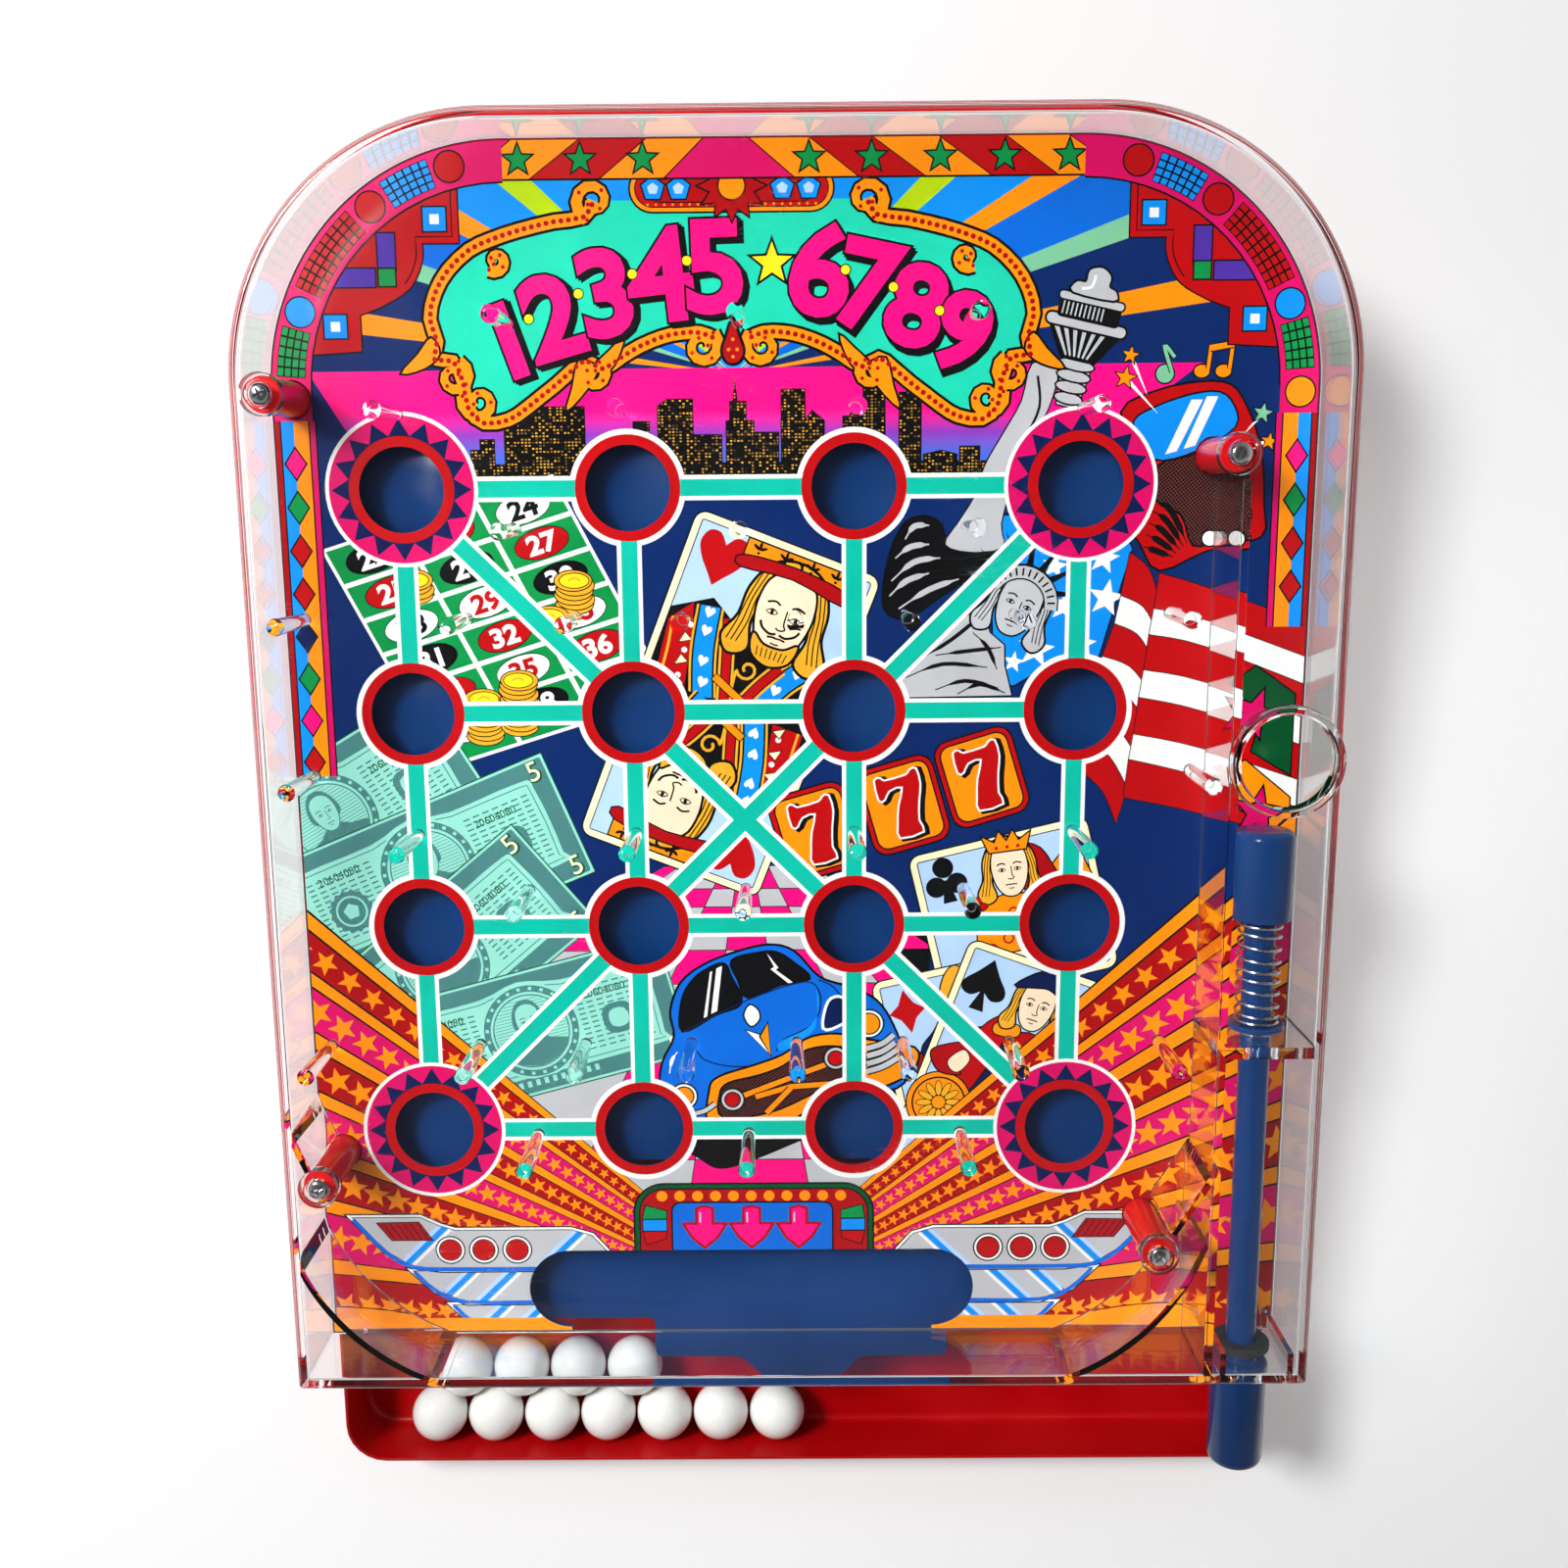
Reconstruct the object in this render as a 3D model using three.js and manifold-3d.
// A tabletop smart-ball game: a Japanese pachinko-style toy that is shot with a sprung plunger.
// Millimetres, +Z up, the table at Z = 0. The game stands at its playing slope on two front feet and a folding stand.
//
// Everything above the stand is drawn in the deck's own frame: x to the right, y up the slope, z square to the board,
// with the origin at the middle of the sixteen pockets on the printed surface. One group then tilts the deck.

import * as THREE from "three";
import { mergeVertices } from "three/addons/utils/BufferGeometryUtils.js";
import Module from "manifold-3d";

const wasm = await Module();
wasm.setup();

// ---- Driving dimensions ----

const SLOPE = THREE.MathUtils.degToRad(8); // how far the deck leans towards the player
const BALL_R = 8.5;
const PITCH = 60; // pocket to pocket, both ways
const RIB_X = 104; // the outermost ribs, outside the pockets
const POCKET_R = 11.3;
const GAP = 0.3; // between pieces that touch or slide

// The plan: straight sides, a straight front, and two large rounded corners at the back.
const PLAN = { left: -125, right: 154, front: -155, back: 180, corner: 65 };
const MIDDLE = (PLAN.left + PLAN.right) / 2;

const COVER = { wall: 2.2, skirt: -1, inside: 25.8, top: 28 };
const BOARD = { under: -2, top: -0.4 }; // the stiff board; the printed sheet lies on it
const SHEET = { under: -0.35, top: 0 };
const BASE = { wall: 2.2, under: -30, floor: -27.5, rim: -1.3 };
const TRAY = { front: -202, rim: -8, corner: 13 };

const OUT_SLOT = { y: -139.4, r: 12, halfLength: 52.6 };
const POSTS = [
  { name: "back_left", x: -117.6, y: 113.5 },
  { name: "back_right", x: 124.8, y: 97.1 },
  { name: "front_left", x: -116.3, y: -96.1 },
  { name: "front_right", x: 112.3, y: -117 },
];
const POST = { r: 4.6, top: 22, bore: 1.65, boreFloor: 9 };

const LANE = { wallX: 126.6, wallThick: 2.4, wallBack: 91 }; // the wall between the field and the shooting lane
const FEED = { x: 139.3, y: 20, outer: 14.4, inner: 12.3, top: 31.5 }; // the ring that balls are dropped through
const AXIS = { x: 140, z: 10 }; // the plunger's line

const PLATE = { side: 107, back: 128.5, front: -128, top: -7.5, under: -9.5, travel: 24.5 };
const STAND = { y: 118, drop: 4.5, halfWidth: 66, lean: THREE.MathUtils.degToRad(12), leg: 6 };

// ---- Materials ----

const plastic = (color, roughness) => new THREE.MeshStandardMaterial({ color, roughness, metalness: 0 });
const RED = plastic(0xc20a0e, 0.35);
const BLUE = plastic(0x0a3f78, 0.35);
const PRINT = plastic(0x16306e, 0.4);
const WHITE = plastic(0xf1f0ec, 0.15);
const RUBBER = plastic(0x10181c, 0.8);
const STEEL = new THREE.MeshStandardMaterial({ color: 0xb9bcc0, roughness: 0.3, metalness: 1 });
const CLEAR = new THREE.MeshStandardMaterial({
  color: 0xf2f6f8,
  roughness: 0.05,
  metalness: 0,
  transparent: true,
  opacity: 0.3,
});

// ---- Solids ----

// A closed three.js geometry as a solid that can be joined and cut.
function solid(geometry) {
  const loose = geometry.index ? geometry.toNonIndexed() : geometry;
  const bare = new THREE.BufferGeometry().setAttribute("position", loose.getAttribute("position"));
  const merged = mergeVertices(bare, 1e-4);
  const corners = merged.index.array;
  const kept = [];
  for (let i = 0; i < corners.length; i += 3) {
    const [a, b, c] = corners.slice(i, i + 3);
    if (a !== b && b !== c && a !== c) kept.push(a, b, c);
  }
  return new wasm.Manifold(
    new wasm.Mesh({
      numProp: 3,
      vertProperties: merged.attributes.position.array,
      triVerts: new Uint32Array(kept),
    }),
  );
}

const join = (...pieces) => pieces.reduce((whole, piece) => whole.add(piece));
const cut = (whole, ...tools) => tools.reduce((left, tool) => left.subtract(tool), whole);

// A named mesh of a solid.
function piece(name, body, material) {
  const made = body.getMesh();
  const geometry = new THREE.BufferGeometry();
  geometry.setAttribute("position", new THREE.BufferAttribute(made.vertProperties, 3));
  geometry.setIndex(new THREE.BufferAttribute(made.triVerts, 1));
  geometry.computeVertexNormals();
  const mesh = new THREE.Mesh(geometry, material);
  mesh.name = name;
  return mesh;
}

// An outline in x and y, raised from low to high.
function prism(shape, low, high, curveSegments = 12) {
  const geometry = new THREE.ExtrudeGeometry(shape, { depth: high - low, bevelEnabled: false, curveSegments });
  return solid(geometry.translate(0, 0, low));
}

function block(x0, x1, y0, y1, z0, z1) {
  const geometry = new THREE.BoxGeometry(x1 - x0, y1 - y0, z1 - z0);
  return solid(geometry.translate((x0 + x1) / 2, (y0 + y1) / 2, (z0 + z1) / 2));
}

// An upright round post or, as a cutting tool, a hole.
function post(x, y, low, high, rLow, rHigh = rLow, sides = 16) {
  const geometry = new THREE.CylinderGeometry(rHigh, rLow, high - low, sides);
  return solid(geometry.rotateX(Math.PI / 2).translate(x, y, (low + high) / 2));
}

// A polygon of [x, y] corners.
const polygon = (corners) => new THREE.Shape(corners.map(([x, y]) => new THREE.Vector2(x, y)));

// The same with its corners rounded off, each over a length along its sides.
function roundedPolygon(corners, length) {
  const points = corners.map(([x, y]) => new THREE.Vector2(x, y));
  const shape = new THREE.Shape();
  points.forEach((corner, i) => {
    const before = points.at(i - 1).clone().sub(corner).setLength(length).add(corner);
    const after = points[(i + 1) % points.length].clone().sub(corner).setLength(length).add(corner);
    if (i === 0) shape.moveTo(before.x, before.y);
    else shape.lineTo(before.x, before.y);
    shape.quadraticCurveTo(corner.x, corner.y, after.x, after.y);
  });
  return shape;
}

// A straight upright wall between two points.
function wall(from, to, thick, low, high) {
  const along = new THREE.Vector2(to[0] - from[0], to[1] - from[1]).normalize();
  const [sx, sy] = [(-along.y * thick) / 2, (along.x * thick) / 2];
  const corners = [
    [from[0] - sx, from[1] - sy],
    [to[0] - sx, to[1] - sy],
    [to[0] + sx, to[1] + sy],
    [from[0] + sx, from[1] + sy],
  ];
  return prism(polygon(corners), low, high);
}

// A curved upright wall, from angle a0 to a1.
function arcWall(x, y, r, thick, a0, a1, low, high) {
  const shape = new THREE.Shape();
  shape.absarc(x, y, r + thick, a0, a1, false);
  shape.absarc(x, y, r, a1, a0, true);
  return prism(shape, low, high);
}

// A turned piece on the plunger's line. The profile is [radius, y] from the axis and back to it.
function turned(profile, sides = 20) {
  const points = profile.map(([r, y]) => new THREE.Vector2(r, y));
  return solid(new THREE.LatheGeometry(points, sides).translate(AXIS.x, 0, AXIS.z));
}

// A side profile in y and z, given as [y, z] corners and drawn out along x.
function sideProfile(corners, x0, x1) {
  const geometry = new THREE.ExtrudeGeometry(polygon(corners), { depth: x1 - x0, bevelEnabled: false });
  return solid(geometry.rotateY(Math.PI / 2).rotateX(Math.PI / 2).translate(x0, 0, 0));
}

// ---- The plan outline ----

// The machine's plan, drawn inset inside its outer face. The front edge and its corner radius are given.
function plan(inset, front = PLAN.front + inset, frontCorner = 1.5) {
  const [left, right, back] = [PLAN.left + inset, PLAN.right - inset, PLAN.back - inset];
  const r = PLAN.corner - inset;
  const shape = new THREE.Shape();
  shape.moveTo(left + frontCorner, front);
  shape.lineTo(right - frontCorner, front);
  shape.absarc(right - frontCorner, front + frontCorner, frontCorner, -Math.PI / 2, 0);
  shape.absarc(right - r, back - r, r, 0, Math.PI / 2);
  shape.absarc(left + r, back - r, r, Math.PI / 2, Math.PI);
  shape.absarc(left + frontCorner, front + frontCorner, frontCorner, Math.PI, 1.5 * Math.PI);
  return shape;
}

const pockets = [];
for (const row of [1.5, 0.5, -0.5, -1.5])
  for (const column of [-1.5, -0.5, 0.5, 1.5]) pockets.push([column * PITCH, row * PITCH]);

// ---- The clear cover: one moulding with its pins, rails, lane and screw cups ----

// Rows of pins, each [y, first x, step, count], as steps of half a pitch where the rows are regular.
const PIN_ROWS = [
  [132, -60, 60, 3],
  [109.5, -90, 60, 4],
  [79.5, -60, 60, 3],
  [56, -117.5, 232, 2],
  [56, -74, 29.4, 6],
  [13.3, -117.5, 239, 2],
  [-3.4, -90, 60, 4],
  [-19.3, -60, 60, 3],
  [-64, -117.5, 233, 2],
  [-64, -75.5, 29.8, 6],
  [-91, -60, 60, 3],
];
const PIN = { top: 2.3, tip: 1.7, end: 0.4 };

function coverPins() {
  const pins = [];
  for (const [y, first, step, count] of PIN_ROWS)
    for (let i = 0; i < count; i++)
      pins.push(post(first + i * step, y, PIN.end, COVER.inside + 1, PIN.tip, PIN.top, 8));
  return pins;
}

// The two curved rails that lead a missed ball down to the slot, and the short rails above the front posts.
function coverRails() {
  const { r, x, y } = { r: 61.5, x: 65, y: -95 };
  const [low, high] = [PIN.end, COVER.inside + 1];
  const down = (degrees) => THREE.MathUtils.degToRad(degrees);
  return [
    arcWall(-x, y, r, 1.8, down(199), down(252), low, high),
    arcWall(x, y, r, 1.8, down(288), down(341), low, high),
    wall([-124, -78], [-118.5, -91], 2, low, high),
    wall([126, -94], [115.6, -110.5], 2, low, high),
  ];
}

const CROSS_WALL = { back: -57.4, front: -60.6 };

// The shooting lane's long wall, and the cross wall that the spring bears on.
function coverLane() {
  const half = LANE.wallThick / 2;
  const high = COVER.inside + 1;
  const long = block(LANE.wallX - half, LANE.wallX + half, PLAN.front + 1, LANE.wallBack, PIN.end, high);
  const cross = block(LANE.wallX, PLAN.right - 1, CROSS_WALL.front, CROSS_WALL.back, PIN.end, high);
  const ribs = [AXIS.x - 10, AXIS.x + 8.5].map((x) =>
    block(x, x + 1.6, PLAN.front + 1, PLAN.front + 9, PIN.end, high),
  );
  return [long, cross, ...ribs];
}

// An upside-down keyhole through a wall, open at the bottom, so that the cover drops over the plunger's rod.
function rodSlot(front, back, r) {
  const round = new THREE.CylinderGeometry(r, r, back - front, 16).translate(AXIS.x, (front + back) / 2, AXIS.z);
  return join(solid(round), block(AXIS.x - r, AXIS.x + r, front, back, COVER.skirt - 1, AXIS.z));
}

function clearCover() {
  const shell = cut(
    prism(plan(0), COVER.skirt, COVER.top),
    prism(plan(COVER.wall), COVER.skirt - 1, COVER.inside),
  );
  const cups = POSTS.map(({ x, y }) => post(x, y, POST.top + GAP, COVER.top, 5.4));
  const ring = post(FEED.x, FEED.y, COVER.inside, FEED.top, FEED.outer, FEED.outer, 28);
  const holes = [
    post(FEED.x, FEED.y, COVER.inside - 1, FEED.top + 1, FEED.inner, FEED.inner, 28),
    rodSlot(CROSS_WALL.front - 1, CROSS_WALL.back + 1, 4.9),
    rodSlot(PLAN.front - 1, PLAN.front + COVER.wall + 1, 4.9),
  ];
  for (const { x, y } of POSTS) {
    holes.push(post(x, y, COVER.inside - GAP, COVER.top + 1, 3.4));
    holes.push(post(x, y, POST.top, COVER.top, 1.9, 1.9, 12));
  }
  const inside = join(...coverPins(), ...coverRails(), ...coverLane(), ...cups);
  const trimmed = inside.intersect(prism(plan(0.5), COVER.skirt, COVER.top));
  return piece("clear_cover", cut(join(shell, ring, trimmed), ...holes), CLEAR);
}

// ---- The printed board ----

// The rounded slot that a missed ball ends in, moved up the slope by a distance.
function outSlot(shift, low, high) {
  const { y, r, halfLength } = OUT_SLOT;
  const slot = new THREE.Shape();
  slot.absarc(halfLength, y + shift, r, -Math.PI / 2, Math.PI / 2);
  slot.absarc(-halfLength, y + shift, r, Math.PI / 2, 1.5 * Math.PI);
  return prism(slot, low, high);
}

const pocketHoles = (r, shift, low, high) =>
  pockets.map(([x, y]) => post(x, y + shift, low, high, r, r, 20));

// A layer of the board, with its pockets, the slot at the front and the holes for the screw posts.
function boardLayer(low, high, pocketR) {
  const holes = [
    ...pocketHoles(pocketR, 0, low - 1, high + 1),
    ...POSTS.map((p) => post(p.x, p.y, low - 1, high + 1, POST.r + 0.5)),
    outSlot(0, low - 1, high + 1),
    block(-OUT_SLOT.halfLength, OUT_SLOT.halfLength, PLAN.front - 1, OUT_SLOT.y, low - 1, high + 1),
  ];
  return cut(prism(plan(COVER.wall + 0.4), low, high), ...holes);
}

// The stiff board has two ribs below it that hold the sliding plate down.
function playfieldBoard() {
  const ribs = [-RIB_X, RIB_X].map((x) =>
    block(x - 1, x + 1, -110, 120, PLATE.top + GAP, BOARD.under + 0.1),
  );
  return piece("playfield_board", join(boardLayer(BOARD.under, BOARD.top, POCKET_R + 0.5), ...ribs), BLUE);
}

const printedSheet = () => piece("printed_sheet", boardLayer(SHEET.under, SHEET.top, POCKET_R), PRINT);

// ---- The release plate ----

// The plate that the pocketed balls stand on. Its own holes lie up the slope from the pockets and the slot, and come
// under them when the player pulls the tongue, so that every ball drops to the floor and rolls out to the tray.
function releasePlate() {
  const { side, back, front, top, under, travel } = PLATE;
  const [slotSide, slotFront, tabHalf, tabFront] = [67, -153, 43.5, -167];
  const [tongueHalf, tipHalf, tip] = [18, 10.5, -174.5];
  const outline = roundedPolygon(
    [
      [-side, back], [-side, front], [-slotSide, front], [-slotSide, slotFront],
      [MIDDLE - tabHalf, slotFront], [MIDDLE - tabHalf, tabFront],
      [MIDDLE - tongueHalf, tabFront], [MIDDLE - tipHalf, tip],
      [MIDDLE + tipHalf, tip], [MIDDLE + tongueHalf, tabFront],
      [MIDDLE + tabHalf, tabFront], [MIDDLE + tabHalf, slotFront],
      [slotSide, slotFront], [slotSide, front], [side, front], [side, back],
    ],
    2.5,
  );
  const holes = [...pocketHoles(POCKET_R, travel, under - 1, top + 1), outSlot(travel, under - 1, top + 1)];
  return piece("release_plate", cut(prism(outline, under, top, 3), ...holes), BLUE);
}

// ---- The base: a tub under the board that runs out in front as the ball tray ----

const HINGE = { ear: 4, clear: 0.4, pinR: 1.6 };

// Where the stand's two hinges are: the leg's left face.
const legLefts = [MIDDLE - STAND.halfWidth, MIDDLE + STAND.halfWidth - STAND.leg];

function hingeEars() {
  const low = BASE.under - STAND.drop - 3.5;
  const ears = legLefts.flatMap((x) =>
    [x - HINGE.clear - HINGE.ear, x + STAND.leg + HINGE.clear].map((ex) =>
      block(ex, ex + HINGE.ear, STAND.y - 5, STAND.y + 5, low, BASE.under + 1),
    ),
  );
  // The stop that the open leg leans on, behind each hinge.
  const stops = legLefts.map((x) => block(x, x + STAND.leg, STAND.y + 4.6, STAND.y + 7, low, BASE.under + 1));
  return [...ears, ...stops];
}

// The ribs that carry the plate and part the channels that released balls roll down, the guides at the plate's sides,
// its back stop, and the ribs under the shooting lane.
function tubRibs() {
  const floor = BASE.floor - 1;
  const boardUnder = BOARD.under - GAP;
  const ribs = [-RIB_X, -PITCH, 0, PITCH, RIB_X].map((x) =>
    block(x - 1, x + 1, -118, PLATE.back - 2, floor, PLATE.under - GAP),
  );
  const guides = [-PLATE.side - 2.5, PLATE.side + 0.5].map((x) =>
    block(x, x + 2, -118, PLATE.back + 2.5, floor, boardUnder),
  );
  const backStop = block(-RIB_X, RIB_X, PLATE.back + 0.5, PLATE.back + 2.5, floor, boardUnder);
  const laneRibs = [-110, -20, 70].map((y) => block(122, PLAN.right - 1, y, y + 2, floor, boardUnder));
  return [...ribs, ...guides, backStop, ...laneRibs];
}

// The ledge inside the tub that the board's edge lies on. It leaves the front open for the balls.
function boardLedge() {
  const top = BOARD.under - GAP;
  return cut(
    prism(plan(BASE.wall - 1), top - 4, top),
    prism(plan(6), top - 5, top + 1),
    block(PLAN.left + 12, PLAN.right - 12, PLAN.front - 1, PLAN.front + 20, top - 5, top + 1),
  );
}

function baseTray() {
  const tub = cut(
    prism(plan(0, TRAY.front, TRAY.corner), BASE.under, BASE.rim),
    prism(plan(BASE.wall, TRAY.front + BASE.wall, TRAY.corner - BASE.wall), BASE.floor, BASE.rim + 1),
    block(PLAN.left - 1, PLAN.right + 1, TRAY.front - 1, PLAN.front - GAP, TRAY.rim, BASE.rim + 1),
  );
  const posts = POSTS.map(({ x, y }) => post(x, y, BASE.floor - 1, POST.top, POST.r));
  const bores = POSTS.map(({ x, y }) => post(x, y, POST.boreFloor, POST.top + 1, POST.bore, POST.bore, 12));
  const pinHoles = legLefts.map((x) => hingePin(x - 8, x + STAND.leg + 8, HINGE.pinR + GAP));
  const whole = join(tub, boardLedge(), ...tubRibs(), ...posts, ...hingeEars());
  return piece("base_tray", cut(whole, ...bores, ...pinHoles), RED);
}

// ---- The plunger ----

const HEAD = { back: -1.4, front: -26.2, r: 8.1 };
const ROD = { r: 4.2, socket: -8, end: -157.6 };
const HANDLE = { r: 7.8, end: -189 };

function plunger() {
  const head = turned([[0, HEAD.back], [6.9, HEAD.back], [HEAD.r, HEAD.back - 1.2], [HEAD.r, HEAD.front], [0, HEAD.front]].reverse());
  const socket = turned([[0, HEAD.front - 1], [ROD.r + GAP, HEAD.front - 1], [ROD.r + GAP, ROD.socket], [0, ROD.socket]]);
  const rod = turned([
    [0, HANDLE.end],
    [5.6, HANDLE.end + 0.4],
    [HANDLE.r, HANDLE.end + 2.8],
    [HANDLE.r, ROD.end],
    [ROD.r, ROD.end],
    [ROD.r, ROD.socket - GAP],
    [0, ROD.socket - GAP],
  ]);
  return [piece("plunger_head", cut(head, socket), BLUE), piece("plunger_rod", rod, BLUE)];
}

const SEAT = { back: CROSS_WALL.back + GAP + 1.5, front: CROSS_WALL.back + GAP };

class Helix extends THREE.Curve {
  constructor(r, from, to, turns) {
    super();
    Object.assign(this, { r, from, to, turns });
  }
  getPoint(t, target = new THREE.Vector3()) {
    const angle = 2 * Math.PI * this.turns * t;
    return target.set(this.r * Math.cos(angle), this.from + (this.to - this.from) * t, this.r * Math.sin(angle));
  }
}

function spring() {
  const wire = new THREE.Shape();
  wire.absarc(0, 0, 0.4, 0, 2 * Math.PI);
  const [turns, stepsPerTurn] = [10, 9];
  const path = new Helix(5.7, SEAT.back + 0.8, HEAD.front - 0.8, turns);
  const coil = new THREE.ExtrudeGeometry(wire, {
    extrudePath: path,
    steps: turns * stepsPerTurn,
    bevelEnabled: false,
    curveSegments: 4,
  });
  return piece("plunger_spring", solid(coil.translate(AXIS.x, 0, AXIS.z)), STEEL);
}

// A flat ring on the plunger's line, from front to back.
const ring = (inner, outer, front, back) =>
  cut(
    turned([[0, front], [outer, front], [outer, back], [0, back]]),
    turned([[0, front - 1], [inner, front - 1], [inner, back + 1], [0, back + 1]]),
  );

function plungerRings() {
  const wallBack = PLAN.front + COVER.wall;
  return [
    piece("spring_seat", ring(ROD.r + GAP, 7.6, SEAT.front, SEAT.back), BLUE),
    piece("rod_grommet", ring(ROD.r + GAP, 8, wallBack + GAP, wallBack + GAP + 2.6), RUBBER),
  ];
}

// ---- Screws, feet and stand ----

function coverScrew({ name, x, y }) {
  const seat = COVER.inside;
  const head = post(x, y, seat, seat + 1.7, 2.9, 2.5);
  const shank = post(x, y, 12, seat + 0.1, 1.35, 1.35, 10);
  return piece("cover_screw_" + name, join(head, shank), STEEL);
}

// Two rubber feet under the tray, with soles that lie flat on the table.
const FOOT = { y: -185, sole: -34, half: 8, wide: 24 };

function frontFoot(name, x) {
  const sole = (y) => FOOT.sole - Math.tan(SLOPE) * (y - FOOT.y);
  const [front, back, high] = [FOOT.y - FOOT.half, FOOT.y + FOOT.half, BASE.under - GAP];
  const profile = [[front, sole(front)], [back, sole(back)], [back, high], [front, high]];
  return piece("front_foot_" + name, sideProfile(profile, x, x + FOOT.wide), RUBBER);
}

// How high the deck's origin stands above the table, once its front feet are down.
const LIFT = -(FOOT.y * Math.sin(SLOPE) + FOOT.sole * Math.cos(SLOPE));
const pivotZ = BASE.under - STAND.drop;
const pivotHeight = STAND.y * Math.sin(SLOPE) + pivotZ * Math.cos(SLOPE) + LIFT;
const STAND_LENGTH = pivotHeight / Math.cos(SLOPE + STAND.lean);

// A round bar across the hinge line, in the deck's frame.
function hingePin(x0, x1, r) {
  const bar = new THREE.CylinderGeometry(r, r, x1 - x0, 12).rotateZ(Math.PI / 2);
  return solid(bar.translate((x0 + x1) / 2, STAND.y, pivotZ));
}

// The stand, drawn about its hinge line with its legs straight down.
function stand() {
  const barLow = -STAND_LENGTH + 4.2;
  const legs = legLefts.map((x) => block(x, x + STAND.leg, -3, 3, barLow, 2.9));
  const bar = block(legLefts[0], legLefts[1] + STAND.leg, -3, 3, barLow, barLow + 6);
  const holes = legLefts.map((x) => hingePin(x - 1, x + STAND.leg + 1, HINGE.pinR + GAP).translate([0, -STAND.y, -pivotZ]));
  const padTop = barLow - GAP;
  const sole = (y) => -STAND_LENGTH - Math.tan(SLOPE + STAND.lean) * y;
  const pad = [[-4, sole(-4)], [3.4, sole(3.4)], [3.4, padTop], [-4, padTop]];
  const group = new THREE.Group();
  group.add(
    piece("stand_frame", cut(join(...legs, bar), ...holes), RED),
    piece("stand_pad_left", sideProfile(pad, legLefts[0] + 2, legLefts[0] + 20), RUBBER),
    piece("stand_pad_right", sideProfile(pad, legLefts[1] - 14, legLefts[1] + 4), RUBBER),
  );
  group.position.set(0, STAND.y, pivotZ);
  group.rotation.x = STAND.lean;
  return group;
}

const hingePins = () =>
  ["left", "right"].map((name, i) => {
    const x = legLefts[i];
    const reach = HINGE.clear + HINGE.ear;
    return piece("stand_pin_" + name, hingePin(x - reach, x + STAND.leg + reach, HINGE.pinR), STEEL);
  });

// ---- Balls, lying in the tray ----

function balls() {
  const step = 2 * BALL_R + 0.4;
  const [firstX, frontY] = [-97.5, TRAY.front + BASE.wall + BALL_R + GAP];
  const rows = [
    { x: firstX, y: frontY, count: 7 },
    { x: firstX + step / 2, y: frontY + step * Math.sin(Math.PI / 3), count: 4 },
  ];
  const made = [];
  for (const { x, y, count } of rows)
    for (let i = 0; i < count; i++) {
      const sphere = new THREE.SphereGeometry(BALL_R, 12, 8);
      const name = "ball_" + String(made.length + 1).padStart(2, "0");
      const ball = piece(name, solid(sphere), WHITE);
      ball.position.set(x + i * step, y, BASE.floor + BALL_R + 0.1);
      made.push(ball);
    }
  return made;
}

// ---- The whole machine ----

// The machine's frontmost and rearmost edges once tilted. Its origin lies on the table midway between them.
const frontmost = TRAY.front * Math.cos(SLOPE) - TRAY.rim * Math.sin(SLOPE);
const rearmost = PLAN.back * Math.cos(SLOPE) - BASE.under * Math.sin(SLOPE);

const deck = new THREE.Group();
deck.add(
  baseTray(),
  releasePlate(),
  playfieldBoard(),
  printedSheet(),
  clearCover(),
  ...POSTS.map(coverScrew),
  ...plunger(),
  spring(),
  ...plungerRings(),
  frontFoot("left", PLAN.left + 16),
  frontFoot("right", PLAN.right - 16 - FOOT.wide),
  stand(),
  ...hingePins(),
  ...balls(),
);
deck.rotation.x = SLOPE;
deck.position.set(-MIDDLE, -(frontmost + rearmost) / 2, LIFT);

const machine = new THREE.Group();
machine.add(deck);

export default machine;
